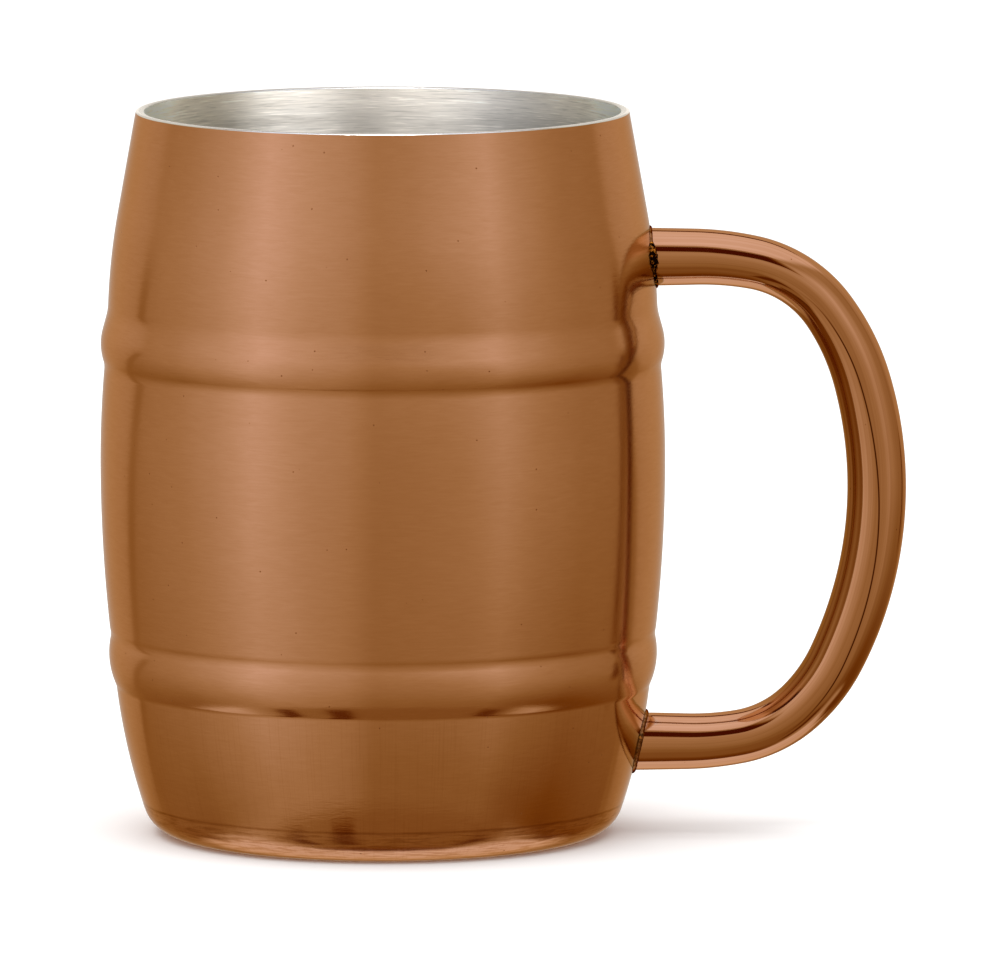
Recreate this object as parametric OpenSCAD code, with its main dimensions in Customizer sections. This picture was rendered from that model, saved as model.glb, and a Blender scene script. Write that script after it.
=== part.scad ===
// Double-wall barrel mug with two rolled hoops and a bent tube handle.
// Origin: centre of the foot ring, on the surface the mug stands on.
// +Z is up and the handle points along +X. Millimetres.

/* [Mug] */
// Height from the foot to the top of the lip
height = 114.3; // [100:0.1:130]
// Radius of the flat ring the mug stands on, at its outer edge
foot_r = 32.2; // [28:0.1:36]
// Radius of the flat ring at its inner edge, where the base seam starts
foot_inner_r = 30.5; // [26:0.1:32]
// Thickness of the outer wall
shell_t = 0.6; // [0.4:0.05:1]

/* [Barrel outline, from the foot up] */
// Radius of the rounded foot corner
foot_corner_r = 5.75; // [3:0.05:9]
// Outward lean of the wall just above the foot corner (degrees)
foot_lean = 18.57; // [8:0.01:25]
// Radius of the curve below the lower hoop
flank_r = 97.5; // [60:1:200]
// Outward lean of the wall just below the lower hoop (degrees)
flank_lean = 7.13; // [3:0.01:12]
// Radius of the belly below its widest point
belly_low_r = 246; // [150:1:400]
// Radius of the belly above its widest point
belly_high_r = 170; // [120:1:400]
// Inward lean of the wall just below the upper hoop (degrees)
belly_lean = 4.59; // [2:0.01:8]
// Radius of the shoulder above the upper hoop
shoulder_r = 105; // [60:1:200]
// Inward lean of the straight neck up to the lip (degrees)
neck_lean = 10.15; // [5:0.01:15]

/* [Rolled hoops] */
// Radius of the fillet under the lower hoop
low_hoop_fillet_r = 12; // [1:0.1:20]
// Outward lean of the lower hoop's underside (degrees)
low_hoop_rise = 21.28; // [8:0.01:30]
// Radius of the lower hoop's crest
low_hoop_crest_r = 10.3; // [4:0.1:15]
// Inward lean of the lower hoop's top side (degrees)
low_hoop_fall = 7.96; // [3:0.01:20]
// Radius of the valley above the lower hoop
low_valley_r = 14.8; // [5:0.1:30]
// Outward lean of the wall above that valley (degrees)
low_valley_lean = 5.69; // [2:0.01:10]
// Radius of the valley below the upper hoop
high_valley_r = 14.2; // [5:0.1:30]
// Outward lean of the upper hoop's underside (degrees)
high_hoop_rise = 12.08; // [5:0.01:25]
// Radius of the upper hoop's crest
high_hoop_crest_r = 9.1; // [4:0.1:15]
// Inward lean of the upper hoop's top side (degrees)
high_hoop_fall = 22.47; // [8:0.01:30]
// Radius of the fillet above the upper hoop
high_hoop_fillet_r = 7.1; // [1:0.1:12]
// Inward lean of the wall just above the upper hoop (degrees)
shoulder_lean = 2.55; // [0.5:0.01:6]

/* [Lip] */
// Height of the silver seam bead that joins the two walls
lip_h = 0.5; // [0.3:0.05:1.5]
// Radius of the bead's crowned top
lip_crown_r = 0.8; // [0.7:0.05:3]

/* [Liner] */
// Inside radius of the mouth
mouth_r = 37.45; // [34:0.05:40]
// Thickness of the inner wall
liner_t = 0.6; // [0.4:0.05:1]
// Height of the drinking floor above the foot
floor_z = 6.8; // [4:0.1:12]
// Radius of the corner between the wall and the floor
liner_corner_r = 9; // [4:0.1:15]
// Outward lean of the liner's wall (degrees)
liner_lean = 0.7; // [0:0.01:3]

/* [Base] */
// Thickness of the base plate
plate_t = 0.6; // [0.4:0.05:1]
// Height of the plate's recessed underside above the foot
plate_recess = 1.8; // [1:0.1:4]
// Height of the plate's outer flange above the foot
plate_flange_z = 0.3; // [0.2:0.05:1]
// Outer radius of the plate's flange
plate_r = 29.8; // [25:0.1:31]
// Width of the plate's flat flange
plate_flange_w = 0.8; // [0.3:0.1:3]
// Radius of the two bends between the flange and the recess
plate_bend_r = 1.5; // [0.8:0.1:3]

/* [Handle] */
// Outside diameter of the tube
tube_d = 9.3; // [7:0.1:12]
// Wall thickness of the tube
tube_t = 1; // [0.6:0.1:2]
// Height of the upper arm's centre line
upper_arm_z = 91.1; // [80:0.1:100]
// Distance from the mug's axis to the end of the straight upper arm
arm_reach = 49; // [45:0.1:60]
// Radius of the gentle bend that starts and ends the curved run
lead_r = 48; // [20:0.5:80]
// Angle of the bend that leads out of the upper arm (degrees)
lead_in_angle = 11; // [0:0.5:20]
// Radius of the upper corner bend
upper_bend_r = 19.2; // [12:0.1:30]
// Angle of the upper corner bend (degrees)
upper_bend_angle = 44; // [20:0.5:60]
// Radius of the bend between the upper corner and the grip
upper_ease_r = 36; // [20:0.5:60]
// Angle of that bend (degrees)
upper_ease_angle = 19; // [5:0.5:40]
// Radius of the long grip
grip_r = 61.8; // [40:0.1:90]
// Angle of the long grip (degrees)
grip_angle = 42; // [20:0.5:60]
// Radius of the bend between the grip and the lower corner
lower_ease_r = 26.5; // [15:0.5:60]
// Angle of that bend (degrees)
lower_ease_angle = 21; // [5:0.5:40]
// Radius of the lower corner bend
lower_bend_r = 19; // [12:0.1:30]
// Angle of the lower corner bend (degrees)
lower_bend_angle = 33; // [15:0.5:60]

/* [Handle welds] */
// Section radius of the bead round the upper joint
upper_weld_r = 0.7; // [0.3:0.05:1.5]
// Section radius of the bead round the lower joint
lower_weld_r = 0.85; // [0.3:0.05:1.5]
// Clearance between a bead and the metal it lies on
weld_gap = 0.02; // [0:0.01:0.1]

/* [Hidden] */

copper = [0.72, 0.44, 0.27];
dark_copper = [0.42, 0.24, 0.13];
steel = [0.80, 0.80, 0.79];

$fn = 180;
seam_z = height - lip_h;
far = 60; // beyond every radius of the barrel
tie = 1;  // overlap of cutters

// The wall outlines are runs of tangent arcs. A state is [radius from the
// axis, height, heading], and the heading is 0 outwards and 90 straight up.
// A stretch is [arc radius, heading at its end] or [0, straight length].
barrel = [
    [foot_corner_r, 90 - foot_lean],
    [flank_r, 90 - flank_lean],
    [low_hoop_fillet_r, 90 - low_hoop_rise],
    [low_hoop_crest_r, 90 + low_hoop_fall],
    [low_valley_r, 90 - low_valley_lean],
    [belly_low_r, 90],
    [belly_high_r, 90 + belly_lean],
    [high_valley_r, 90 - high_hoop_rise],
    [high_hoop_crest_r, 90 + high_hoop_fall],
    [high_hoop_fillet_r, 90 + shoulder_lean],
    [shoulder_r, 90 + neck_lean],
    [0, 18]
];
barrel_states = walk(barrel, [foot_r, 0, 0]);

liner_rise = seam_z - floor_z - liner_corner_r * (1 - sin(liner_lean));
liner_floor_r = mouth_r - liner_corner_r * cos(liner_lean)
    - liner_rise * tan(liner_lean);
liner = [
    [liner_corner_r, 90 - liner_lean],
    [0, liner_rise / cos(liner_lean)]
];
liner_states = walk(liner, [liner_floor_r, floor_z, 0]);

// the plate's underside steps up from its flange to the recess in two bends
plate_bend = acos(1 - (plate_recess - plate_flange_z) / (2 * plate_bend_r));
recess = [
    [plate_bend_r, 180 - plate_bend],
    [plate_bend_r, 180]
];
recess_states = walk(recess, [plate_r - plate_flange_w, plate_flange_z, 180]);

// each bend of the handle, from the upper arm round to the lower one
bends = [
    [lead_r, lead_in_angle],
    [upper_bend_r, upper_bend_angle],
    [upper_ease_r, upper_ease_angle],
    [grip_r, grip_angle],
    [lower_ease_r, lower_ease_angle],
    [lower_bend_r, lower_bend_angle],
    [lead_r, 180 - lead_in_angle - upper_bend_angle - upper_ease_angle
        - grip_angle - lower_ease_angle - lower_bend_angle]
];
handle_end = handle_walk(len(bends));
lower_arm_z = handle_end[1];

// turn of a stretch: +1 where the wall bulges out, -1 in a fillet or valley
function turn(state, stretch) = stretch[1] > state[2] ? 1 : -1;

// centre of a stretch's arc
function centre(state, stretch) =
    let (k = turn(state, stretch) * stretch[0])
    [state[0] - k * sin(state[2]), state[1] + k * cos(state[2])];

function next(state, stretch) =
    stretch[0] == 0
    ? [state[0] + stretch[1] * cos(state[2]),
       state[1] + stretch[1] * sin(state[2]), state[2]]
    : let (k = turn(state, stretch) * stretch[0], c = centre(state, stretch))
      [c[0] + k * sin(stretch[1]), c[1] - k * cos(stretch[1]), stretch[1]];

function walk(run, state, i = 0) =
    i == len(run) ? [state] : concat([state], walk(run, next(state, run[i]), i + 1));

// the state's point, moved towards the axis by t
function inset(state, t) =
    [state[0] - t * sin(state[2]), state[1] + t * cos(state[2])];

// [radius, heading] of the barrel's outside at a height
function barrel_at(z, i = 0) =
    z > barrel_states[i + 1][1] ? barrel_at(z, i + 1)
    : let (s = barrel_states[i], b = barrel[i])
      b[0] == 0
      ? [s[0] + (z - s[1]) / tan(s[2]), s[2]]
      : let (c = centre(s, b), k = turn(s, b), u = (z - c[1]) / b[0])
        [c[0] + k * b[0] * sqrt(1 - u * u), acos(-k * u)];

// [x, z, turned angle] of the handle's centre line after n bends
function handle_walk(n) =
    n == 0 ? [arm_reach, upper_arm_z, 0]
    : let (p = handle_walk(n - 1), r = bends[n - 1][0], a = p[2] + bends[n - 1][1])
      [p[0] + r * (sin(a) - sin(p[2])), p[1] + r * (cos(a) - cos(p[2])), a];

// ---------------------------------------------------------------- outlines

// moves its children in a coarse and a fine step, so that arcs that meet
// keep every digit of their places
module place(v) {
    coarse = [for (x = v) round(10 * x) / 10];
    translate(coarse) translate(v - coarse) children();
}

module slab(z0, z1, x1 = far) {
    polygon([[0, z0], [x1, z0], [x1, z1], [0, z1]]);
}

// everything between the axis and one stretch of an outline, inset by t
module under_stretch(state, stretch, t) {
    a = inset(state, t);
    b = inset(next(state, stretch), t);
    if (stretch[0] == 0) {
        along = [cos(state[2]), sin(state[2])];
        low = -tie * along;
        high = (stretch[1] + tie) * along;
        intersection() {
            slab(a[1], b[1]);
            place(a) polygon([low, high, high - [far, 0], low - [far, 0]]);
        }
    } else {
        c = centre(state, stretch);
        k = turn(state, stretch);
        r = stretch[0] - k * t;
        if (k > 0)
            intersection() {
                slab(a[1], b[1]);
                union() {
                    place(c) circle(r, $fn = 1440);
                    if (c[0] > 0)
                        slab(a[1], b[1], c[0]);
                }
            }
        else
            difference() {
                slab(a[1], b[1], c[0]);
                place(c) circle(r, $fn = 1440);
            }
    }
}

// the turned solid inside a whole outline, inset by t
module turned(run, states, t = 0) {
    for (i = [0:len(run) - 1])
        rotate_extrude() under_stretch(states[i], run[i], t);
}

// a slab shape with rounded edges along its lower side, for a seam bead
module bead_outline(r0, r1, z0, z1) {
    w = (r1 - r0) / 2;
    translate([r0, z0 + w]) square([2 * w, z1 - z0 - w]);
    intersection() {
        translate([r0 + w, z0 + w]) circle(w);
        translate([r0, z0]) square([2 * w, w]);
    }
}

// ------------------------------------------------------------------- parts

module outer_shell() {
    color(copper)
    difference() {
        turned(barrel, barrel_states);
        turned(barrel, barrel_states, shell_t);
        translate([0, 0, -tie]) cylinder(r = foot_inner_r, h = shell_t + 2 * tie);
        translate([0, 0, seam_z]) cylinder(r = far, h = far);
    }
}

module inner_cup() {
    color(steel)
    difference() {
        union() {
            turned(liner, liner_states, -liner_t);
            translate([0, 0, floor_z - liner_t]) cylinder(r = liner_floor_r, h = 2 * liner_t);
        }
        turned(liner, liner_states);
        translate([0, 0, seam_z]) cylinder(r = far, h = far);
    }
}

module rim_weld() {
    outer_r = barrel_at(seam_z)[0];
    color(steel)
    rotate_extrude()
        intersection() {
            translate([mouth_r, seam_z]) square([outer_r - mouth_r, lip_h]);
            translate([(mouth_r + outer_r) / 2, height - lip_crown_r]) circle(lip_crown_r);
        }
}

module base_plate() {
    color(copper)
    difference() {
        union() {
            turned(recess, recess_states, -plate_t);
            translate([0, 0, plate_flange_z]) cylinder(r = plate_r, h = plate_t);
        }
        turned(recess, recess_states);
    }
}

module base_weld() {
    color(dark_copper)
    rotate_extrude()
        bead_outline(plate_r, foot_inner_r, 0.05, plate_flange_z + plate_t);
}

// one bend of a round rod: the part of a ring between its two end planes
module bend_rod(n, d) {
    from = handle_walk(n);
    to = handle_walk(n + 1);
    r = bends[n][0];
    across = tube_d * [for (p = [from, to]) [sin(p[2]), cos(p[2])]];
    rotate([90, 0, 0])
        intersection() {
            place([from[0] - r * sin(from[2]), from[1] - r * cos(from[2]), 0])
                rotate_extrude() translate([r, 0]) circle(d = d);
            translate([0, 0, -tube_d])
                linear_extrude(2 * tube_d)
                    polygon([
                        [from[0], from[1]] - across[0], [from[0], from[1]] + across[0],
                        [to[0], to[1]] + across[1], [to[0], to[1]] - across[1]
                    ]);
        }
}

// a straight rod along +X at a height, between two distances from the axis
module arm(x0, x1, z, d) {
    place([x0, 0, z]) rotate([0, 90, 0]) cylinder(d = d, h = x1 - x0);
}

// the whole handle as a solid rod that starts inside the barrel
module handle_rod(d, depth) {
    arm(barrel_at(upper_arm_z)[0] - depth, arm_reach, upper_arm_z, d);
    for (n = [0:len(bends) - 1])
        bend_rod(n, d);
    arm(barrel_at(lower_arm_z)[0] - depth, handle_end[0], lower_arm_z, d);
}

// the solid barrel around a height, grown by a clearance
module barrel_block(z, gap) {
    intersection() {
        turned(barrel, barrel_states, -gap, $fn = 720);
        translate([0, 0, z - tube_d]) cylinder(r = far, h = 2 * tube_d);
    }
}

module handle_tube() {
    color(copper)
    difference() {
        handle_rod(tube_d, 3);
        handle_rod(tube_d - 2 * tube_t, 4);
        barrel_block(upper_arm_z, weld_gap);
        barrel_block(lower_arm_z, weld_gap);
    }
}

// a fillet bead round the tube's end, square to the wall there
module handle_weld(z, r) {
    wall = barrel_at(z);
    color(dark_copper)
    difference() {
        translate([wall[0], 0, z])
            rotate([0, 180 - wall[1], 0])
                rotate_extrude()
                    translate([tube_d / 2 + weld_gap, 0]) circle(r);
        barrel_block(z, weld_gap);
        translate([wall[0] - tie - r, 0, z]) rotate([0, 90, 0])
            cylinder(d = tube_d + 2 * weld_gap, h = 4 * r + 2 * tie);
    }
}

module upper_handle_weld() {
    handle_weld(upper_arm_z, upper_weld_r);
}

module lower_handle_weld() {
    handle_weld(lower_arm_z, lower_weld_r);
}

outer_shell();
inner_cup();
rim_weld();
base_plate();
base_weld();
handle_tube();
upper_handle_weld();
lower_handle_weld();
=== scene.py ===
"""The looks of the double-wall barrel mug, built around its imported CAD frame.

Metres, +Z up, the handle along +X, the foot on z = 0. Every piece lies where its CAD node does.
The outlines repeat part.scad's runs of tangent arcs, apart from three things that the photograph
shows: tighter creases beside the two hoops, a lower lip bead and smaller beads at the handle.
"""

import math

import bpy
import numpy as np
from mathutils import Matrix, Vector, noise


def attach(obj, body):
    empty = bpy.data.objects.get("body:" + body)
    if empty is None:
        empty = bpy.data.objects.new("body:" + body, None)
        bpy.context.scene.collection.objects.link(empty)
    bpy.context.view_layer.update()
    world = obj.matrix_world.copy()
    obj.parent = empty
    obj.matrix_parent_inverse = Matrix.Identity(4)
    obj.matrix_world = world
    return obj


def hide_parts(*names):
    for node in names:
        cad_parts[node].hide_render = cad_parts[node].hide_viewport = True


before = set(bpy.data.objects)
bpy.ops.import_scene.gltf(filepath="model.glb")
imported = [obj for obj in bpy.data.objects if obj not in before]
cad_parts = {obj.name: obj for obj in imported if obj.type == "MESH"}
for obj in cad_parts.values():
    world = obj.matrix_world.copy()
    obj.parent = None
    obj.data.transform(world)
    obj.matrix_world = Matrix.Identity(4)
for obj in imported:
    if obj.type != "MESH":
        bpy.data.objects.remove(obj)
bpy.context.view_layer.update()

MM = 0.001

# ------------------------------------------------------------------ dimensions, mm and degrees
HEIGHT = 114.3
LIP_H, LIP_CROWN_R = 0.25, 1.2
SEAM_Z = HEIGHT - LIP_H
SHELL_T = 0.6
FOOT_R, FOOT_INNER_R = 32.2, 30.5
BARREL = [  # [arc radius, heading at its end], or [0, straight length]
    [5.75, 71.43],  # foot corner
    [97.5, 83.05],  # flank
    [2.4, 66.3],  # crease under the lower hoop
    [11.83, 101.28],  # lower hoop
    [3.4, 77.66],  # crease above it
    [6, 83.97],  # run-out into the belly
    [246, 90],  # belly up to its widest point
    [170, 94.96],  # belly above it
    [4, 73.02],  # crease under the upper hoop
    [8.54, 105.3],  # upper hoop
    [0, 2.13],  # its straight upper side
    [8.92, 92.28],  # fillet above it
    [105, 100.15],  # shoulder
    [0, 18],  # neck, cut off at the lip
]
MOUTH_R, LINER_T, FLOOR_Z, LINER_CORNER_R, LINER_LEAN = 37.45, 0.6, 6.8, 9.0, 0.7
PLATE_T, PLATE_RECESS, PLATE_FLANGE_Z = 0.6, 1.8, 0.3
PLATE_R, PLATE_FLANGE_W, PLATE_BEND_R = 29.8, 0.8, 1.5
SEAM_BOTTOM = 0.05
TUBE_D, TUBE_T = 9.3, 1.0
UPPER_ARM_Z, ARM_REACH = 91.1, 49.0
BENDS = [  # [bend radius, angle turned], from the upper arm to the lower one
    [48, 11],
    [19.2, 44],
    [36, 19],
    [61.8, 42],
    [26.5, 21],
    [19, 33],
    [48, 10],
]
UPPER_FLAT, LOWER_FLAT = (1.05, 12.5), (0.9, 12.0)  # how flat the tube is at a corner, and its reach
FLAT_SPREAD = 0.55  # how much of the flatness shows as extra width across the bend
WELD_GAP = 0.02
UPPER_WELD_LEG, LOWER_WELD_LEG = 0.31, 0.48
# rough stretches of a bead: (angle from the top, half width, extra size, how burnt from 0 to 1)
UPPER_CRUSTS = [(-84, 30, 0.52, 1.0), (-128, 34, 0.10, 0.5), (110, 40, 0.2, 0.4)]
LOWER_CRUSTS = [(-84, 22, 0.1, 0.2), (-125, 34, 0.05, 0.12), (80, 50, 0.1, 0.1)]

# ------------------------------------------------------------------ mesh counts
LATHE_STEPS = 384
TUBE_AROUND = 112
COPE_ROWS = 12
BEAD_AROUND = 360
BEAD_STEPS = 16
SAME_PLACE = 1e-4

# ------------------------------------------------------------------ colours of the metals
COPPER, COPPER_EDGE = (0.74, 0.36, 0.19), (0.80, 0.60, 0.42)
WELD, WELD_EDGE = (0.5, 0.24, 0.10), (0.30, 0.14, 0.06)
STEEL, STEEL_EDGE = (0.72, 0.678, 0.622), (0.86, 0.82, 0.76)
LIP_STEEL, LIP_STEEL_EDGE, LIP_SATIN = (0.93, 0.92, 0.90), (0.96, 0.92, 0.86), (0.70, 0.682, 0.645)


def sind(a):
    return math.sin(math.radians(a))


def cosd(a):
    return math.cos(math.radians(a))


# ------------------------------------------------------------------ outlines
def walk(state, run, step=0.8, turn_step=1.5):
    """The states (radius, height, heading) along a run of tangent arcs, densely sampled."""
    out = [tuple(state)]
    for radius, value in run:
        r, z, h = out[-1]
        if radius == 0:
            n = max(1, math.ceil(value / step))
            out += [(r + value * i / n * cosd(h), z + value * i / n * sind(h), h) for i in range(1, n + 1)]
            continue
        k = radius if value > h else -radius
        cr, cz = r - k * sind(h), z + k * cosd(h)
        turn = abs(value - h)
        n = max(2, math.ceil(turn / turn_step), math.ceil(math.radians(turn) * radius / step))
        for i in range(1, n + 1):
            a = h + (value - h) * i / n
            out.append((cr + k * sind(a), cz - k * cosd(a), a))
    return out


def cut_above(states, z):
    """The states up to a height, ended exactly on it."""
    kept = [s for s in states if s[1] < z - 1e-6]
    a, b = kept[-1], states[len(kept)]
    t = (z - a[1]) / (b[1] - a[1])
    return kept + [tuple(p + t * (q - p) for p, q in zip(a, b))]


def inset(states, t):
    """The states moved to the left of their heading, towards the axis on the way up."""
    return [(r - t * sind(h), z + t * cosd(h), h) for r, z, h in states]


def back(states):
    """The same line walked the other way."""
    return [(r, z, h + 180) for r, z, h in reversed(states)]


def line(a, b, step=0.8):
    """A straight run from point a to point b."""
    h = math.degrees(math.atan2(b[1] - a[1], b[0] - a[0]))
    n = max(1, math.ceil(math.dist(a, b) / step))
    return [(a[0] + (b[0] - a[0]) * i / n, a[1] + (b[1] - a[1]) * i / n, h) for i in range(n + 1)]


barrel_line = cut_above(walk((FOOT_R, 0, 0), BARREL), SEAM_Z)


def barrel_radius(z):
    """The barrel's outer radius at a height, in mm, for a number or an array."""
    return np.interp(z, [s[1] for s in barrel_line], [s[0] for s in barrel_line])


def barrel_heading(z):
    """The barrel's heading at a height, which is 90 where the wall is upright."""
    return float(np.interp(z, [s[1] for s in barrel_line], [s[2] for s in barrel_line]))


# ------------------------------------------------------------------ meshes
def new_object(name, verts, faces, wrap, normals=None):
    """An object from arrays in mm. wrap is a place on the piece for its material's patterns."""
    mesh = bpy.data.meshes.new(name)
    mesh.from_pydata((np.asarray(verts) * MM).tolist(), [], faces)
    mesh.validate()
    mesh.shade_smooth()
    a = mesh.attributes.new("wrap", "FLOAT_VECTOR", "POINT")
    a.data.foreach_set("vector", np.asarray(wrap, np.float32).ravel())
    if normals is not None:
        mesh.normals_split_custom_set(normals)
    obj = bpy.data.objects.new(name, mesh)
    bpy.context.scene.collection.objects.link(obj)
    return obj


def lathe(name, *runs):
    """A turned solid whose outline is walked anticlockwise, with the metal on its left."""
    steps = LATHE_STEPS
    angles = np.arange(steps) * 2 * math.pi / steps
    ring = np.stack([np.cos(angles), np.sin(angles)], 1)
    verts, wraps, rows, segments = [], [], [], []
    along = 0.0
    last = None
    for run in runs:
        for i, (r, z, h) in enumerate(run):
            if i == 0 and last is not None and math.dist(last[:2], (r, z)) < SAME_PLACE:
                last = (r, z, h)
                continue
            if last is not None:
                along += math.dist(last[:2], (r, z))
            if r < SAME_PLACE:
                rows.append([len(verts)] * steps)
                verts.append((0.0, 0.0, z))
                wraps.append((0.0, 0.0, along * MM))
            elif rows and i == len(run) - 1 and run is runs[-1] and math.dist((r, z), first) < SAME_PLACE:
                rows.append(rows[0])
            else:
                rows.append(list(range(len(verts), len(verts) + steps)))
                verts += [(r * c, r * s, z) for c, s in ring]
                wraps += [(c, s, along * MM) for c, s in ring]
            if last is None:
                first = (r, z)
            else:
                segments.append((len(rows) - 2, len(rows) - 1, last[2], h))
            last = (r, z, h)
    faces, normals = [], []
    for a, b, ha, hb in segments:
        na = np.column_stack([ring * sind(ha), np.full(steps, -cosd(ha))]).tolist()
        nb = np.column_stack([ring * sind(hb), np.full(steps, -cosd(hb))]).tolist()
        ra, rb = rows[a], rows[b]
        for j in range(steps):
            k = (j + 1) % steps
            corners = [(ra[j], na[j]), (ra[k], na[k]), (rb[k], nb[k]), (rb[j], nb[j])]
            if ra[j] == ra[k]:
                corners.pop(1)
            elif rb[j] == rb[k]:
                corners.pop(2)
            faces.append([c[0] for c in corners])
            normals += [c[1] for c in corners]
    return new_object(name, verts, faces, wraps, normals)


# ------------------------------------------------------------------ handle
def handle_path(step=0.6):
    """The handle's centre line as (x, z, turned angle, path length), from upper joint to lower."""
    x, z, a = ARM_REACH, UPPER_ARM_Z, 0.0
    start = float(barrel_radius(z))
    s = x - start
    pts = [(start + s * (i / COPE_ROWS), z, a, s * (i / COPE_ROWS)) for i in range(COPE_ROWS)]
    pts.append((x, z, a, s))
    for r, turn in BENDS:
        cx, cz = x - r * sind(a), z - r * cosd(a)
        n = math.ceil(math.radians(turn) * r / step)
        for i in range(1, n + 1):
            b = a + turn * i / n
            pts.append((cx + r * sind(b), cz + r * cosd(b), b, s + r * math.radians(turn) * i / n))
        x, z, a, s = pts[-1]
    stop = float(barrel_radius(z))
    for i in range(1, COPE_ROWS + 1):
        pts.append((x + (stop - x) * i / COPE_ROWS, z, 180.0, s + (x - stop) * i / COPE_ROWS))
    return np.array(pts)


path = handle_path()
LOWER_ARM_Z = path[-1, 1]
bend_starts = np.cumsum([ARM_REACH - barrel_radius(UPPER_ARM_Z)] + [r * math.radians(t) for r, t in BENDS])
UPPER_CORNER_S = (bend_starts[1] + bend_starts[2]) / 2
LOWER_CORNER_S = (bend_starts[5] + bend_starts[6]) / 2
GRIP_S = (UPPER_CORNER_S + LOWER_CORNER_S) / 2


def tube_widths(s):
    """The tube's width in the plane of its bends and across it: both corners are a little flat."""
    flat = 0.0
    for corner, (depth, reach) in ((UPPER_CORNER_S, UPPER_FLAT), (LOWER_CORNER_S, LOWER_FLAT)):
        flat = flat + depth * np.exp(-0.5 * ((s - corner) / reach) ** 2)
    return TUBE_D - flat, TUBE_D + FLAT_SPREAD * flat


def tube_skin(depth):
    """The grid of points this deep in the tube's wall, its ends coped to the barrel."""
    phi = np.arange(TUBE_AROUND) * 2 * math.pi / TUBE_AROUND
    wide, deep = tube_widths(path[:, 3])
    wide, deep = wide - 2 * depth, deep - 2 * depth
    up = np.outer(wide / 2, np.cos(phi))
    side = np.outer(deep / 2, np.sin(phi))
    a = np.radians(path[:, 2])[:, None]
    grid = np.stack([path[:, 0][:, None] + up * np.sin(a), side, path[:, 1][:, None] + up * np.cos(a)], 2)
    upper_rows, lower_rows = range(COPE_ROWS), range(-1, -COPE_ROWS - 1, -1)
    for rows, arm_x in ((upper_rows, ARM_REACH), (lower_rows, path[-COPE_ROWS - 1, 0])):
        for i, row in enumerate(rows):
            end = np.sqrt((barrel_radius(grid[row, :, 2]) + WELD_GAP) ** 2 - grid[row, :, 1] ** 2)
            grid[row, :, 0] = end + (arm_x - end) * i / COPE_ROWS
    return grid, phi


def grid_normals(grid):
    """The normals of a tube's grid, pointing away from its centre line."""
    du = np.gradient(grid, axis=0)
    dv = np.roll(grid, -1, 1) - np.roll(grid, 1, 1)
    n = np.cross(dv, du)
    return n / np.linalg.norm(n, axis=2, keepdims=True)


def handle_tube(name):
    """The hollow tube: an outer and an inner skin, joined by a ring at each coped end."""
    around = TUBE_AROUND
    outer, phi = tube_skin(0.0)
    inner = tube_skin(TUBE_T)[0]
    n_out, n_in = grid_normals(outer), -grid_normals(inner)
    m = len(path)
    verts = np.concatenate([outer.reshape(-1, 3), inner.reshape(-1, 3)])
    s = np.repeat(path[:, 3] * MM, around)
    wrap = np.column_stack([np.tile(np.cos(phi), m), np.tile(np.sin(phi), m), s])
    wrap = np.concatenate([wrap, wrap])
    faces, normals = [], []
    flat_out, flat_in = n_out.reshape(-1, 3).tolist(), n_in.reshape(-1, 3).tolist()
    base = m * around
    for i in range(m - 1):
        for j in range(around):
            k = (j + 1) % around
            a, b, c, d = i * around + j, i * around + k, (i + 1) * around + k, (i + 1) * around + j
            faces.append([a, b, c, d])
            normals += [flat_out[q] for q in (a, b, c, d)]
            faces.append([base + d, base + c, base + b, base + a])
            normals += [flat_in[q] for q in (d, c, b, a)]
    for row, sign in ((0, 1), (m - 1, -1)):
        for j in range(around):
            k = (j + 1) % around
            ring = [row * around + j, base + row * around + j, base + row * around + k, row * around + k]
            faces.append(ring[::sign])
            normals += [(-1.0, 0.0, 0.0)] * 4
    return new_object(name, verts, faces, wrap, normals)


def crust_at(angle, crusts):
    """How burnt a bead is at an angle, and how much larger, in mm."""
    burnt, extra = 0.0, 0.0
    for centre, half, more, burn in crusts:
        apart = abs((angle - centre + 180) % 360 - 180) / half
        w = max(0.0, 1 - apart * apart) ** 0.7
        burnt, extra = max(burnt, w * burn), max(extra, w * more)
    return burnt, extra


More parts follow.
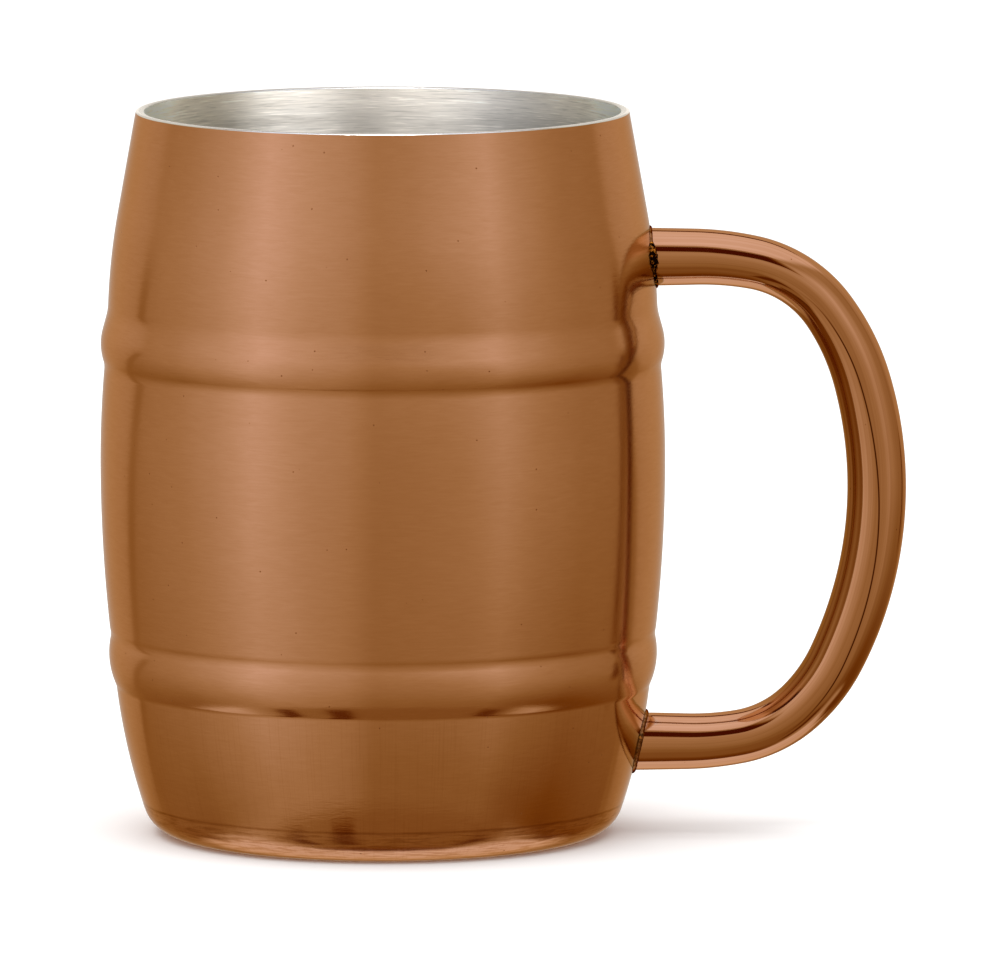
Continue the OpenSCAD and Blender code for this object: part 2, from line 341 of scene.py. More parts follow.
def weld_bead(name, z0, leg, seed, crusts, hidden=0.25, toe=0.12):
    """A fillet round a tube end, with its hidden sides just inside the tube and the wall.

    Angles run round the tube from its top, and -90 faces the front. The bead is a smooth ridge
    apart from its crusts. Its corner lies this far inside both metals, and its toes less far.
    """
    around = BEAD_AROUND
    phi = np.arange(around) * 2 * math.pi / around
    y, z = TUBE_D / 2 * np.sin(phi), z0 + TUBE_D / 2 * np.cos(phi)
    x = np.sqrt(barrel_radius(z) ** 2 - y ** 2)
    lean = math.radians(barrel_heading(z0) - 90)
    axis = Vector((1, 0, 0))
    verts, wrap = [], []
    for j in range(around):
        corner = Vector((x[j], y[j], z[j]))
        radial = Vector((0, math.sin(phi[j]), math.cos(phi[j])))
        wall = Vector((x[j] / math.hypot(x[j], y[j]), y[j] / math.hypot(x[j], y[j]), 0))
        wall = (wall * math.cos(lean) + Vector((0, 0, 1)) * math.sin(lean)).normalized()
        along_wall = (radial - wall * radial.dot(wall)).normalized()
        out = (radial + wall).normalized()
        at = Vector((TUBE_D / 2 * math.cos(phi[j]), TUBE_D / 2 * math.sin(phi[j]), seed))
        crust, extra = crust_at(math.degrees(phi[j]), crusts)
        swell = leg * (1 + 0.12 * noise.noise(at * 0.6)) + extra * (1 + 0.5 * noise.noise(at * 1.1))
        uneven = 0.04 + 0.20 * crust
        leg_t = swell * (1 + uneven * noise.noise(at * 2.6))
        leg_w = swell * (1 + uneven * noise.noise(at * 2.2 + Vector((0, 0, 9))))
        foot_t = corner + axis * leg_t
        foot_w = corner + along_wall * leg_w
        section = [corner - radial * hidden - wall * hidden, foot_t - radial * toe]
        for i in range(BEAD_STEPS + 1):
            t = i / BEAD_STEPS
            flat = foot_t.lerp(foot_w, t)
            arch = math.sin(math.pi * t)
            lump = noise.noise(flat * 3.0 + Vector((seed, 0, 0))) + 0.7 * noise.noise(flat * 7.0)
            furrow = math.sin(3 * math.pi * t + 2 * noise.noise(at * 0.7))
            bulge = 0.22 * leg * arch + 0.2 * extra * arch + 0.015 * furrow * arch
            section.append(flat + out * (bulge + (0.008 + 0.15 * crust) * lump * arch ** 0.5))
        section.append(foot_w - wall * toe)
        verts += [tuple(p) for p in section]
        wrap += [(math.cos(phi[j]), math.sin(phi[j]), crust)] * len(section)
    n = len(section)
    faces = []
    for j in range(around):
        k = (j + 1) % around
        for i in range(n):
            q = (i + 1) % n
            faces.append([j * n + i, j * n + q, k * n + q, k * n + i])
    return new_object(name, verts, faces, wrap)


# ------------------------------------------------------------------ node trees
class Tree:
    """Builds a node tree. A value may be a number, a colour, a vector or another node's output."""

    def __init__(self, tree):
        self.tree = tree
        tree.nodes.clear()

    def node(self, kind, inputs=None, **props):
        n = self.tree.nodes.new(kind)
        for key, value in props.items():
            setattr(n, key, value)
        for key, value in (inputs or {}).items():
            self.put(n.inputs[key], value)
        return n

    def put(self, socket, value):
        if isinstance(value, bpy.types.NodeSocket):
            self.tree.links.new(value, socket)
        elif socket.type == "RGBA" and len(value) == 3:
            socket.default_value = (*value, 1.0)
        else:
            socket.default_value = value

    def place(self):
        """Where a point is in the piece's own space, in metres."""
        return self.node("ShaderNodeTexCoord").outputs["Object"]

    def parts(self, vector):
        """The x, y and z of a vector."""
        return self.node("ShaderNodeSeparateXYZ", {0: vector}).outputs

    def math(self, op, *values):
        return self.node("ShaderNodeMath", dict(enumerate(values)), operation=op).outputs[0]

    def chain(self, op, values):
        result = values[0]
        for value in values[1:]:
            result = self.math(op, result, value)
        return result

    def plus(self, *values):
        return self.chain("ADD", values)

    def less(self, *values):
        return self.chain("SUBTRACT", values)

    def times(self, *values):
        return self.chain("MULTIPLY", values)

    def vmath(self, op, *values):
        n = self.node("ShaderNodeVectorMath", operation=op)
        for i, v in enumerate(values):
            self.put(n.inputs["Scale"] if op == "SCALE" and i == 1 else n.inputs[i], v)
        return n.outputs["Value" if op in ("LENGTH", "DISTANCE", "DOT_PRODUCT") else "Vector"]

    def mix(self, factor, a, b, blend="MIX"):
        n = self.node("ShaderNodeMix", {0: factor, 6: a, 7: b}, data_type="RGBA", blend_type=blend)
        return n.outputs[2]

    def lerp(self, factor, a, b):
        return self.node("ShaderNodeMix", {0: factor, 2: a, 3: b}, data_type="FLOAT").outputs[0]

    def fit(self, value, lo, hi, to_lo=0.0, to_hi=1.0, smooth=True):
        """A value carried from one range to another, and held at the ends."""
        n = self.node(
            "ShaderNodeMapRange",
            {0: value, 1: lo, 2: hi, 3: to_lo, 4: to_hi},
            interpolation_type="SMOOTHSTEP" if smooth else "LINEAR",
        )
        return n.outputs[0]

    def spread(self, noise_value, to_lo, to_hi):
        """A noise, which is mostly between 0.3 and 0.7, spread over another range."""
        return self.fit(noise_value, 0.3, 0.7, to_lo, to_hi, smooth=False)

    def window(self, value, lo, hi, soft):
        """1 between lo and hi, with edges this soft, and 0 outside."""
        up = self.fit(value, lo - soft / 2, lo + soft / 2)
        down = self.fit(value, hi - soft / 2, hi + soft / 2, 1.0, 0.0)
        return self.times(up, down)

    def curve(self, value, points):
        """A level that follows these (value, level) points, or colours instead of levels."""
        lo, hi = points[0][0], points[-1][0]
        n = self.node("ShaderNodeValToRGB", {0: self.fit(value, lo, hi, smooth=False)})
        ramp = n.color_ramp
        ramp.interpolation = "LINEAR"
        while len(ramp.elements) < len(points):
            ramp.elements.new(0.5)
        for element, point in zip(ramp.elements, points):
            element.position = (point[0] - lo) / (hi - lo)
        for element, point in zip(ramp.elements, points):
            element.color = (*(point[1] if isinstance(point[1], tuple) else grey(point[1])), 1.0)
        return n.outputs[0]

    def shaded(self, colour, shade):
        """A copper colour made lighter or darker. Dim copper is also a deeper brown."""
        shade = self.math("MAXIMUM", shade, 0.001)
        parts = [self.math("POWER", shade, power) for power in (1.0, 1.5, 2.4)]
        tint = self.node("ShaderNodeCombineXYZ", dict(enumerate(parts))).outputs[0]
        return self.mix(1.0, colour, tint, "MULTIPLY")

    def noise(self, vector, scale=1.0, detail=2.0, rough=0.5, distort=0.0):
        n = self.node(
            "ShaderNodeTexNoise",
            {"Vector": vector, "Scale": scale, "Detail": detail, "Roughness": rough, "Distortion": distort},
        )
        return n.outputs[0]

    def grain(self, vector, stretch, detail=3, rough=0.6, distort=0.0):
        """Noise drawn out into lines: the larger a part of stretch, the finer the grain that way."""
        return self.noise(self.vmath("MULTIPLY", vector, stretch), 1.0, detail, rough, distort)

    def pits(self, place, scale, kept):
        """1 in tiny round pits. The range kept, out of 0 to 1, says how many are left out."""
        spots = self.node("ShaderNodeTexVoronoi", {"Vector": place, "Scale": scale, "Randomness": 1.0})
        chance = self.node("ShaderNodeSeparateColor", {0: spots.outputs["Color"]}).outputs[0]
        dot = self.fit(spots.outputs["Distance"], 0.03, 0.06, 1.0, 0.0)
        return self.times(dot, self.fit(chance, *kept))

    def bump(self, shader, height, strength, distance):
        n = self.node("ShaderNodeBump", {"Strength": strength, "Distance": distance, "Height": height})
        self.put(shader.inputs["Normal"], n.outputs[0])


def grey(level):
    return (level, level, level)


def metal(name, colour, roughness, edge, anisotropic=0.0):
    """A metallic material. Returns it with its tree, its shader and its wrap vector."""
    m = bpy.data.materials.new(name)
    m.use_nodes = True
    t = Tree(m.node_tree)
    shader = t.node("ShaderNodeBsdfPrincipled")
    shader.inputs["Metallic"].default_value = 1.0
    shader.inputs["Base Color"].default_value = (*colour, 1.0)
    shader.inputs["Roughness"].default_value = roughness
    shader.inputs["Specular Tint"].default_value = (*edge, 1.0)
    if anisotropic:
        shader.inputs["Anisotropic"].default_value = anisotropic
        shader.inputs["Anisotropic Rotation"].default_value = 0.25
        tangent = t.node("ShaderNodeTangent", direction_type="RADIAL", axis="Z")
        t.put(shader.inputs["Tangent"], tangent.outputs[0])
    t.node("ShaderNodeOutputMaterial", {"Surface": shader.outputs[0]})
    wrap = t.node("ShaderNodeAttribute", attribute_name="wrap").outputs["Vector"]
    return m, t, shader, wrap


# ------------------------------------------------------------------ materials, in metres
def brushed_copper():
    """A nearly mirror-bright plate with fine turning lines, a few pits, a duller foot and a thin line of
    painted shade just above it.
    """
    m, t, shader, wrap = metal("copper_brushed", COPPER, 0.12, COPPER_EDGE)
    place = t.place()
    height = t.parts(place)[2]
    fine = t.grain(wrap, (14, 14, 4200), distort=0.4)
    ripple = t.grain(wrap, (11, 11, 1300), rough=0.55, distort=0.8)
    hair = t.grain(wrap, (260, 260, 60))
    film = t.grain(wrap, (9, 9, 2600))
    cloud = t.grain(place, (55, 55, 40), rough=0.55)
    streak = t.plus(t.times(fine, 0.6), t.times(ripple, 0.4))
    pit = t.pits(place, 400.0, (0.50, 0.54))
    below_hoop = t.fit(height, 0.0228, 0.0242, 1.0, 0.0)
    foot = t.fit(height, 0.0042, 0.0062, 1.0, 0.0)
    # painted shade: a thin dark line round the wall just above the foot corner, standing in for the shade
    # of a crease
    painted_crease_shade = t.window(height, 0.00495, 0.0053, 0.0003)

    shade = t.times(t.spread(streak, 0.955, 1.035), t.spread(cloud, 0.975, 1.02))
    shade = t.less(shade, t.times(below_hoop, t.fit(hair, 0.36, 0.46, 0.05, 0.0)))
    shade = t.less(shade, t.times(foot, t.fit(film, 0.38, 0.56, 0.20, 0.0)))
    shade = t.less(shade, t.times(painted_crease_shade, 0.22), t.times(pit, 0.5))
    for arm_z in (UPPER_ARM_Z, LOWER_ARM_Z):
        joint = (float(barrel_radius(arm_z)) * MM, 0.0, arm_z * MM)
        ragged = t.plus(t.vmath("DISTANCE", place, joint), t.times(t.less(cloud, 0.5), 0.006))
        scorch = t.fit(ragged, 0.0047, 0.0085, 0.30, 0.0)
        shade = t.less(shade, scorch)
    t.put(shader.inputs["Base Color"], t.shaded(COPPER, shade))

    rough = t.plus(t.spread(streak, 0.155, 0.095), t.spread(cloud, -0.015, 0.02))
    rough = t.lerp(below_hoop, rough, t.times(rough, 0.6))
    t.put(shader.inputs["Roughness"], t.plus(rough, t.times(foot, 0.09)))
    relief = t.less(t.plus(t.times(fine, 0.5), ripple), t.times(pit, 3.0))
    t.bump(shader, relief, 0.40, 0.00002)
    return m


def polished_copper():
    """Bright tube with fine drawing lines along it, a grip painted a little darker with painted shade on
    its inner side, and one dark reflection painted along the grip.
    """
    m, t, shader, wrap = metal("copper_polished", COPPER, 0.05, COPPER_EDGE)
    x, y, s = t.parts(wrap)
    lines = t.grain(wrap, (15, 15, 7), 4, 0.72)
    cloud = t.grain(wrap, (2, 2, 90))
    pit = t.pits(t.place(), 420.0, (0.80, 0.82))
    off = t.less(s, GRIP_S * MM)
    away = t.math("ABSOLUTE", off)
    shade = t.times(t.fit(lines, 0.34, 0.62, 0.90, 1.05, smooth=False), t.spread(cloud, 0.97, 1.02))
    # the grip is painted a little darker, and its inner side, which faces the barrel, gets painted shade
    shade = t.times(shade, t.fit(away, 0.030, 0.055, 0.90, 0.98))
    inner = t.times(t.fit(x, -0.80, -0.97), t.fit(away, 0.045, 0.030))
    shade = t.times(shade, t.lerp(inner, 1.0, 0.55))
    shade = t.less(shade, t.times(pit, 0.4))
    # painted reflection: one dark line, a reflection painted into the colour, drifts along the front of the
    # grip
    wander = t.times(t.math("SINE", t.times(off, 160.0)), 0.015)
    reflection_line_x = t.plus(0.075, t.times(off, 8.0), wander)
    painted_dark_reflection = t.window(t.less(x, reflection_line_x), -0.024, 0.024, 0.03)
    painted_dark_reflection = t.times(painted_dark_reflection, t.math("LESS_THAN", y, 0.0), t.fit(away, 0.042, 0.026))
    shade = t.times(shade, t.lerp(painted_dark_reflection, 1.0, 0.15))
    t.put(shader.inputs["Base Color"], t.shaded(COPPER, shade))
    t.put(shader.inputs["Roughness"], t.spread(lines, 0.085, 0.035))
    t.bump(shader, t.less(lines, t.times(pit, 2.0)), 0.15, 0.00002)
    return m


def weld_copper():
    """Bronze-coloured weld, with scorched, spattered metal where wrap's third part is high."""
    m, t, shader, wrap = metal("copper_weld", WELD, 0.3, WELD_EDGE)
    place = t.place()
    scorch = t.parts(wrap)[2]
    grain = t.noise(place, 1700, 3, 0.6)
    broad = t.noise(place, 900, 2, 0.5)
    specks = t.fit(grain, 0.56, 0.62)
    smooth = t.mix(t.fit(broad, 0.36, 0.60), (0.15, 0.048, 0.010), (0.44, 0.185, 0.075))
    rough = t.mix(specks, (0.010, 0.003, 0.001), (0.78, 0.28, 0.040))
    burnt = t.fit(t.plus(scorch, t.times(t.less(broad, 0.5), 0.9)), 0.12, 0.42)
    t.put(shader.inputs["Base Color"], t.mix(burnt, smooth, rough))
    t.put(shader.inputs["Roughness"], t.lerp(burnt, 0.22, t.fit(grain, 0.4, 0.6, 0.55, 0.25)))
    t.bump(shader, t.times(grain, t.lerp(burnt, 0.25, 1.0)), 0.5, 0.0001)
    return m


def plate_copper():
    """A spun disc: the same copper, duller, with rings."""
    m, t, shader, wrap = metal("copper_plate_spun", COPPER, 0.22, COPPER_EDGE)
    rings = t.grain(wrap, (2, 2, 5000))
    t.put(shader.inputs["Roughness"], t.spread(rings, 0.2, 0.36))
    t.bump(shader, rings, 0.25, 0.00002)
    return m


def brushed_steel():
    """Satin liner with turning lines that catch the light in bright threads, painted lighter towards the
    lip and with painted reflections at both sides of the mouth.
    """
    m, t, shader, wrap = metal("steel_brushed", STEEL, 0.5, STEEL_EDGE, anisotropic=0.85)
    fine = t.grain(wrap, (5, 5, 5200), 4, 0.65)
    broad = t.grain(wrap, (2.5, 2.5, 700), 2, 0.5)
    thread = t.grain(wrap, (7, 7, 4300), 2)
    streak = t.plus(t.times(fine, 0.65), t.times(broad, 0.35))
    parts = t.parts(t.place())
    side, height = t.math("ABSOLUTE", parts[0]), parts[2]
    shade = t.fit(streak, 0.32, 0.68, 0.86, 1.10, smooth=False)
    shade = t.times(shade, t.fit(thread, 0.32, 0.46, 0.80, 1.0), t.fit(thread, 0.56, 0.70, 1.0, 1.30))
    # painted light: the liner is painted lighter towards the lip and darker deeper in the cup
    shade = t.times(shade, t.fit(height, 0.1085, 0.1132, 0.84, 1.20))
    # painted reflection: brighter at both sides of the mouth, where the steel mirrors the bright studio at
    # a grazing angle
    painted_side_reflection = t.times(t.fit(side, 0.030, 0.036), t.fit(height, 0.1075, 0.1105))
    shade = t.times(shade, t.fit(painted_side_reflection, 0.0, 1.0, 1.0, 1.36))
    t.put(shader.inputs["Base Color"], t.mix(1.0, STEEL, t.vmath("SCALE", (1, 1, 1), shade), "MULTIPLY"))
    t.put(shader.inputs["Roughness"], t.spread(streak, 0.62, 0.38))
    t.bump(shader, fine, 0.3, 0.00002)
    return m


def lip_steel():
    """A polished bead, satin on its inner half where it runs into the liner."""
    m, t, shader, wrap = metal("steel_polished", LIP_STEEL, 0.14, LIP_STEEL_EDGE)
    radius = t.vmath("LENGTH", t.vmath("MULTIPLY", t.place(), (1, 1, 0)))
    inner = t.fit(radius, (MOUTH_R + 0.95) * MM, (MOUTH_R + 0.70) * MM)
    rings = t.grain(wrap, (3, 3, 8000), 2, 0.5)
    satin = t.vmath("SCALE", LIP_SATIN, t.spread(rings, 0.86, 1.04))
    t.put(shader.inputs["Base Color"], t.mix(inner, LIP_STEEL, satin))
    t.put(shader.inputs["Roughness"], t.plus(t.spread(rings, 0.10, 0.2), t.times(inner, 0.1)))
    t.bump(shader, rings, 0.15, 0.00001)
    return m


# ------------------------------------------------------------------ pieces
def dress(obj, node, material):
    """Gives a piece its material, hangs it under the root body and hides the CAD node that it stands for.
    """
    obj.data.materials.append(material)
    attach(obj, "root")
    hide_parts(node)
    return obj


def barrel_wall():
    """The rolled shell, with its turned-in foot flange."""
    inside = inset(barrel_line, SHELL_T)
    back_inside = back(inside)
    return lathe(
        "barrel_wall",
        line((FOOT_INNER_R, 0), (FOOT_R, 0)),
        barrel_line,
        line(barrel_line[-1][:2], back_inside[0][:2]),
        back_inside,
        line(inside[0][:2], (FOOT_INNER_R, SHELL_T)),
        line((FOOT_INNER_R, SHELL_T), (FOOT_INNER_R, 0)),
    )


def liner():
    """The drawn inner cup: flat floor, rounded corner and slightly leaning wall."""
    rise = SEAM_Z - FLOOR_Z - LINER_CORNER_R * (1 - sind(LINER_LEAN))
    slope = math.tan(math.radians(LINER_LEAN))
    floor_r = MOUTH_R - LINER_CORNER_R * cosd(LINER_LEAN) - rise * slope
    wall = [[LINER_CORNER_R, 90 - LINER_LEAN], [0, rise / cosd(LINER_LEAN)]]
    inside = walk((floor_r, FLOOR_Z, 0), wall)
    outside = inset(inside, -LINER_T)
    top = (outside[-1][0] + (SEAM_Z - outside[-1][1]) * slope, SEAM_Z)
    return lathe(
        "liner",
        line((0, FLOOR_Z - LINER_T), outside[0][:2]),
        outside,
        line(outside[-1][:2], top),
        line(top, inside[-1][:2]),
        back(inside),
        line(inside[0][:2], (0, FLOOR_Z)),
    )


def lip():
    """The crowned bead that joins the liner to the shell."""
    r0, r1 = MOUTH_R, barrel_line[-1][0]
    crown = math.degrees(math.asin((r1 - r0) / 2 / LIP_CROWN_R))
    side_z = HEIGHT - LIP_CROWN_R * (1 - cosd(crown))
    return lathe(
        "lip",
        line((r0, SEAM_Z), (r1, SEAM_Z)),
        line((r1, SEAM_Z), (r1, side_z), 0.1),
        walk((r1, side_z, 180 - crown), [[LIP_CROWN_R, 180 + crown]], turn_step=4),
        line((r0, side_z), (r0, SEAM_Z), 0.1),
    )


def base_disc():
    """The recessed disc under the mug, with two bends down to its flange."""
    bend = math.degrees(math.acos(1 - (PLATE_RECESS - PLATE_FLANGE_Z) / (2 * PLATE_BEND_R)))
    flange_start = (PLATE_R - PLATE_FLANGE_W, PLATE_FLANGE_Z, 180)
    under = walk(flange_start, [[PLATE_BEND_R, 180 - bend], [PLATE_BEND_R, 180]])
    over = inset(under, -PLATE_T)
    return lathe(
        "base_disc",
        line((0, PLATE_RECESS), under[-1][:2]),
        back(under),
        line(under[0][:2], (PLATE_R, PLATE_FLANGE_Z)),
        line((PLATE_R, PLATE_FLANGE_Z), (PLATE_R, PLATE_FLANGE_Z + PLATE_T)),
        line((PLATE_R, PLATE_FLANGE_Z + PLATE_T), over[0][:2]),
        over,
        line(over[-1][:2], (0, PLATE_RECESS + PLATE_T)),
    )


def base_seam():
    """The round-bottomed bead between the disc and the foot flange."""
    half = (FOOT_INNER_R - PLATE_R) / 2
    side_z, top_z = SEAM_BOTTOM + half, PLATE_FLANGE_Z + PLATE_T
    return lathe(
        "base_seam",
        walk((PLATE_R, side_z, -90), [[half, 90]], turn_step=10),
        line((FOOT_INNER_R, side_z), (FOOT_INNER_R, top_z)),
        line((FOOT_INNER_R, top_z), (PLATE_R, top_z)),
        line((PLATE_R, top_z), (PLATE_R, side_z)),
    )


dress(barrel_wall(), "outer_shell", brushed_copper())
inner_cup = dress(liner(), "inner_cup", brushed_steel())
rim_weld = dress(lip(), "rim_weld", lip_steel())
dress(base_disc(), "base_plate", plate_copper())
weld_material = weld_copper()
dress(base_seam(), "base_weld", weld_material)
dress(handle_tube("handle"), "handle_tube", polished_copper())
upper_bead = weld_bead("upper_bead", UPPER_ARM_Z, UPPER_WELD_LEG, 3.0, UPPER_CRUSTS)
dress(upper_bead, "upper_handle_weld", weld_material)
lower_bead = weld_bead("lower_bead", LOWER_ARM_Z, LOWER_WELD_LEG, 11.0, LOWER_CRUSTS)
dress(lower_bead, "lower_handle_weld", weld_material)


# ------------------------------------------------------------------ floor
FLOOR_HALF = 6.0
PAPER = 0.93


def paper_floor():
    """A wide sheet of white paper, which the metal doesn't mirror."""
    corners = [(x * FLOOR_HALF, y * FLOOR_HALF, 0) for x, y in ((-1, -1), (1, -1), (1, 1), (-1, 1))]
    mesh = bpy.data.meshes.new("floor")
    mesh.from_pydata(corners, [], [(0, 1, 2, 3)])
    material = bpy.data.materials.new("floor_paper")
    material.use_nodes = True
    t = Tree(material.node_tree)
    shader = t.node("ShaderNodeBsdfDiffuse", {"Color": grey(PAPER)})
    t.node("ShaderNodeOutputMaterial", {"Surface": shader.outputs[0]})
    mesh.materials.append(material)
    floor = bpy.data.objects.new("floor", mesh)
    floor.visible_glossy = False
    bpy.context.scene.collection.objects.link(floor)
    return floor


floor = paper_floor()

# ------------------------------------------------------------------ studio
# The studio is drawn by direction: azimuth 0 is the front and 90 the handle's side, in degrees.
# The walls' brightness is given as (azimuth, level) at three elevations.
WALLS_LOW_EL, WALLS_MID_EL, WALLS_HIGH_EL, CEILING_EL = -33, (-5, -3), 17, (32, 50)
WALLS_LOW = [(-130, 0.20), (-97, 0.21), (-75, 0.28), (-54, 0.35), (-38, 0.35), (-16, 0.30), (-4, 0.24)]
WALLS_LOW += [(50, 0.24), (62, 0.20), (90, 0.14), (130, 0.16)]
WALLS_MID = [(-130, 0.29), (-90, 0.36), (-72, 0.42), (-54, 0.54), (-44, 0.50), (-32, 0.43), (-14, 0.38)]
WALLS_MID += [(-3, 0.31), (14, 0.32), (34, 0.35), (51, 0.42), (66, 0.35), (90, 0.29), (130, 0.28)]
WALLS_HIGH = [(-130, 0.34), (-97, 0.37), (-72, 0.47), (-52, 0.62), (-36, 0.51), (-14, 0.42), (-3, 0.36)]
WALLS_HIGH += [(14, 0.39), (36, 0.48), (49, 0.55), (62, 0.44), (85, 0.33), (130, 0.28)]
BELOW_TABLE = [(-130, 0.14), (-116, 0.19), (-106, 0.37), (-96, 0.47), (-78, 0.47), (-68, 0.35), (-56, 0.26)]
BELOW_TABLE += [(-20, 0.21), (-3, 0.20), (66, 0.20), (74, 0.36), (83, 0.42), (92, 0.30), (100, 0.13)]
BELOW_TABLE += [(130, 0.13)]
BLOTS = [(-50, 5), (-22, 6), (57, 5)]  # azimuth and half width of what stands below the table
BACKDROP = [(120, 0.29), (128, 0.355), (133, 0.385), (139, 0.41), (147, 0.445), (160, 0.475), (180, 0.49)]
CEILING, UNDERSIDE, BLOT, FRONT_EDGE = 0.34, 0.115, 0.085, 0.055
BACKDROP_GAP, RIGHT_GAP, BEHIND, TOP_LIGHT, GROUND = 0.245, 0.09, 0.09, 0.65, 0.60
# what a level looks like in copper: dim copper is redder and bright copper is pinker
TONES = [(0.0, (0.0, 0.0, 0.0)), (0.06, (0.06, 0.0045, 0.0001)), (0.10, (0.10, 0.0145, 0.0004))]
TONES += [(0.16, (0.16, 0.037, 0.003)), (0.25, (0.25, 0.087, 0.020)), (0.35, (0.35, 0.143, 0.050))]
TONES += [(0.48, (0.48, 0.225, 0.110)), (0.65, (0.65, 0.332, 0.205)), (1.0, (1.0, 0.514, 0.307))]


class Studio(Tree):
    """A world tree that paints patches of grey over the directions that metal mirrors."""

    def __init__(self, tree):
        super().__init__(tree)
        self.x, self.y, self.z = self.parts(self.node("ShaderNodeTexCoord").outputs["Generated"])
        self.az = self.math("DEGREES", self.math("ARCTAN2", self.x, self.times(self.y, -1)))
        self.el = self.math("DEGREES", self.math("ARCSINE", self.z))
        self.away = self.math("ABSOLUTE", self.az)
        self.above = self.fit(self.z, -0.01, 0.01)

    def paint(self, mask, level):
        self.level = self.mix(mask, self.level, grey(level))

    def patch(self, across, sides, heights):
        """A soft-edged mask. sides and heights are (from, to, softness)."""
        return self.times(self.window(across, *sides), self.window(self.el, *heights))

    def walls(self):
        """Walls round the set: a soft light on the left and a weaker one on the right."""
        low, mid, high = (self.curve(self.az, points) for points in (WALLS_LOW, WALLS_MID, WALLS_HIGH))
        rise = self.fit(self.el, WALLS_LOW_EL, WALLS_MID_EL[0], smooth=False)
        self.level = self.mix(rise, low, mid)
        rise = self.fit(self.el, WALLS_MID_EL[1], WALLS_HIGH_EL, smooth=False)
        self.level = self.mix(rise, self.level, high)
        self.paint(self.fit(self.el, *CEILING_EL), CEILING)

    def below_table(self):
        """What shows past the table's edge, and straight below."""
        deep = self.mix(self.fit(self.el, -78, -60), grey(UNDERSIDE), self.curve(self.az, BELOW_TABLE))
        self.level = self.mix(self.fit(self.el, -41, -36), deep, self.level)
        for at, half in BLOTS:
            self.paint(self.patch(self.az, (at - half, at + half, 4), (-60, -42, 4)), BLOT)

    def ceiling_front(self):
        """The dark front edge of the ceiling."""
        self.paint(self.patch(self.az, (-26, 26, 14), (28.5, 49.0, 2)), FRONT_EDGE)

    def backdrop(self):
        """A backdrop behind the mug, wider at its top, with darker gaps at its sides."""
        lean = self.math("MINIMUM", self.math("MAXIMUM", self.plus(self.el, 7.0), -20.0), 14.0)
        narrow = self.plus(self.away, self.times(lean, 0.9))
        self.paint(self.patch(narrow, (121, 127.5, 2), (-36, 0, 6)), BACKDROP_GAP)
        self.paint(self.patch(self.az, (114, 118.5, 2), (-14, -1, 5)), RIGHT_GAP)
        sheet = self.times(self.fit(narrow, 125, 129), self.window(self.el, -50, 42, 4))
        dimmed = self.vmath("SCALE", self.curve(narrow, BACKDROP), self.fit(self.el, -23, -12, 0.74, 1.0))
        self.level = self.mix(sheet, self.level, dimmed)
        self.paint(self.times(self.fit(self.away, 124, 126), self.window(self.el, 42, 50, 3)), BEHIND)

    def top_and_ground(self):
        """A wide soft light overhead, and the white floor under and behind the mug.

        Both are flat, so they are masked by where a direction meets a plane one metre off.
        """
        tall = self.math("MAXIMUM", self.math("ABSOLUTE", self.z), 0.001)
        plan_x, plan_y = (self.math("DIVIDE", part, tall) for part in (self.x, self.y))
        slant = self.less(plan_x, self.times(plan_y, 0.36))
        top = self.times(self.window(slant, -2.2, 0.70, 0.25), self.window(plan_y, -0.70, 0.84, 0.04))
        self.paint(self.times(top, self.above), TOP_LIGHT)
        under_backdrop = self.times(self.fit(self.el, -50, -44), self.fit(self.away, 126, 124))
        ground = self.times(self.fit(plan_y, -0.11, -0.06), self.less(1.0, self.above))
        ground = self.times(ground, self.window(plan_x, -0.95, 0.95, 0.5), self.less(1.0, under_backdrop))
        self.paint(self.times(ground, self.fit(self.el, -36, -46)), GROUND)

    def tone(self, dim, power):
        """The light that looks like TONES once copper has tinted it this many times."""
        tint = tuple(c ** power for c in COPPER)
        return self.vmath("DIVIDE", self.curve(self.times(self.level, dim), TONES), tint)


def studio_world():
    """A plain studio: white for the camera and the floor, with soft walls for metal to mirror."""
    world = bpy.data.worlds.new("studio")
    bpy.context.scene.world = world
    world.use_nodes = True
    world.cycles.sampling_method = "NONE"
    t = Studio(world.node_tree)
    t.walls()
    t.below_table()
    t.ceiling_front()
    t.backdrop()
    t.top_and_ground()
    # light that met two sheets of copper is dimmer, but no redder
    ray = t.node("ShaderNodeLightPath").outputs
    once = t.tone(1.0, 1)
    again = t.mix(t.fit(t.el, 18, 40), t.tone(0.6, 2), t.tone(0.9, 1.6))
    mirrored = t.mix(t.math("GREATER_THAN", ray["Glossy Depth"], 1.5), once, again)
    colour = t.mix(ray["Is Glossy Ray"], grey(1.0), mirrored)
    background = t.node("ShaderNodeBackground", {"Color": colour, "Strength": 1.0})
    t.node("ShaderNodeOutputWorld", {"Surface": background.outputs[0]})


studio_world()


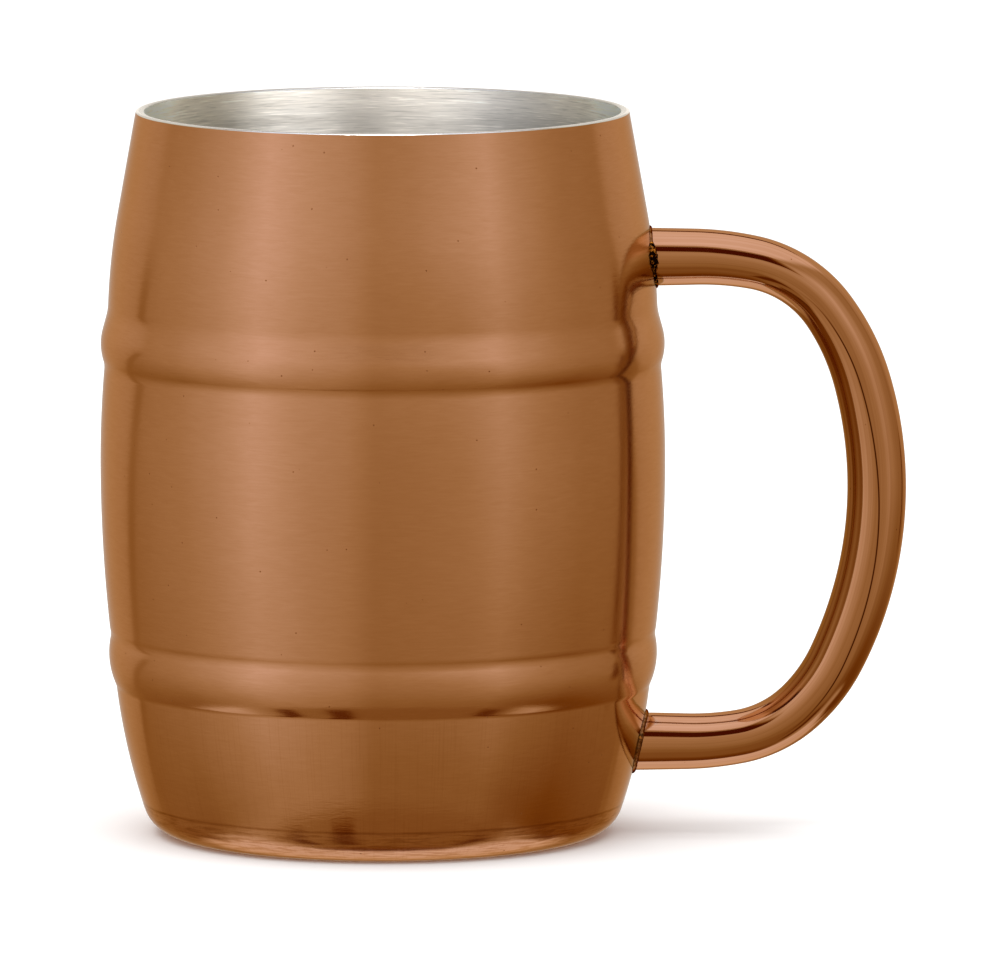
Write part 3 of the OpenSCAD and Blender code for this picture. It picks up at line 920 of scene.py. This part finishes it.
# ------------------------------------------------------------------ lights and camera, in metres
FLOOR_LIGHT_PLACE, FLOOR_LIGHT_TURN = (-0.1, -0.5, 1.8), (-15, -3, 0)
FLOOR_LIGHT_SIZE, FLOOR_LIGHT_ENERGY = 2.4, 36.0
MOUTH_LIGHTS = [  # name, place, diameter, energy
    ("mouth_light_left", (-0.42, -0.86, 0.74), 1.2, 7.5),
    ("mouth_light_right", (0.70, -0.62, 0.70), 1.0, 8.0),
    ("mouth_light_top", (0.0, 0.1, 1.2), 0.5, 17.0),
    ("lip_light_back", (0.0, 1.3, 0.20), 0.5, 0.25),
]
CAMERA_PLACE, CAMERA_TILT = (0.01843, -2.2, 0.32821), 82.95
CAMERA_LENS, CAMERA_SENSOR = 506.97, 36.0


def area_light(name, shape, size, energy, place, turn):
    """An area light that the camera doesn't see."""
    lamp = bpy.data.lights.new(name, "AREA")
    lamp.shape = shape
    lamp.size = size
    lamp.energy = energy
    obj = bpy.data.objects.new(name, lamp)
    obj.location = place
    obj.rotation_euler = turn
    obj.visible_camera = False
    bpy.context.scene.collection.objects.link(obj)
    return obj


floor_light = area_light(
    "floor_light",
    "SQUARE",
    FLOOR_LIGHT_SIZE,
    FLOOR_LIGHT_ENERGY,
    FLOOR_LIGHT_PLACE,
    [math.radians(a) for a in FLOOR_LIGHT_TURN],
)
floor_light.visible_glossy = False

# neutral light into the mouth, for the steel alone
steel_pieces = bpy.data.collections.new("steel_pieces")
steel_pieces.objects.link(inner_cup)
steel_pieces.objects.link(rim_weld)
for name, place, size, energy in MOUTH_LIGHTS:
    aim = Vector((0, 0, HEIGHT * MM)) - Vector(place)
    lamp = area_light(name, "DISK", size, energy, place, aim.to_track_quat("-Z", "Y").to_euler())
    lamp.light_linking.receiver_collection = steel_pieces

camera = bpy.data.cameras.new("camera")
camera.lens = CAMERA_LENS
camera.sensor_width = CAMERA_SENSOR
camera.clip_start, camera.clip_end = 0.05, 50.0
camera_object = bpy.data.objects.new("camera", camera)
camera_object.location = CAMERA_PLACE
camera_object.rotation_euler = (math.radians(CAMERA_TILT), 0.0, 0.0)
bpy.context.scene.collection.objects.link(camera_object)
bpy.context.scene.camera = camera_object
bpy.context.scene.view_settings.view_transform = "Standard"
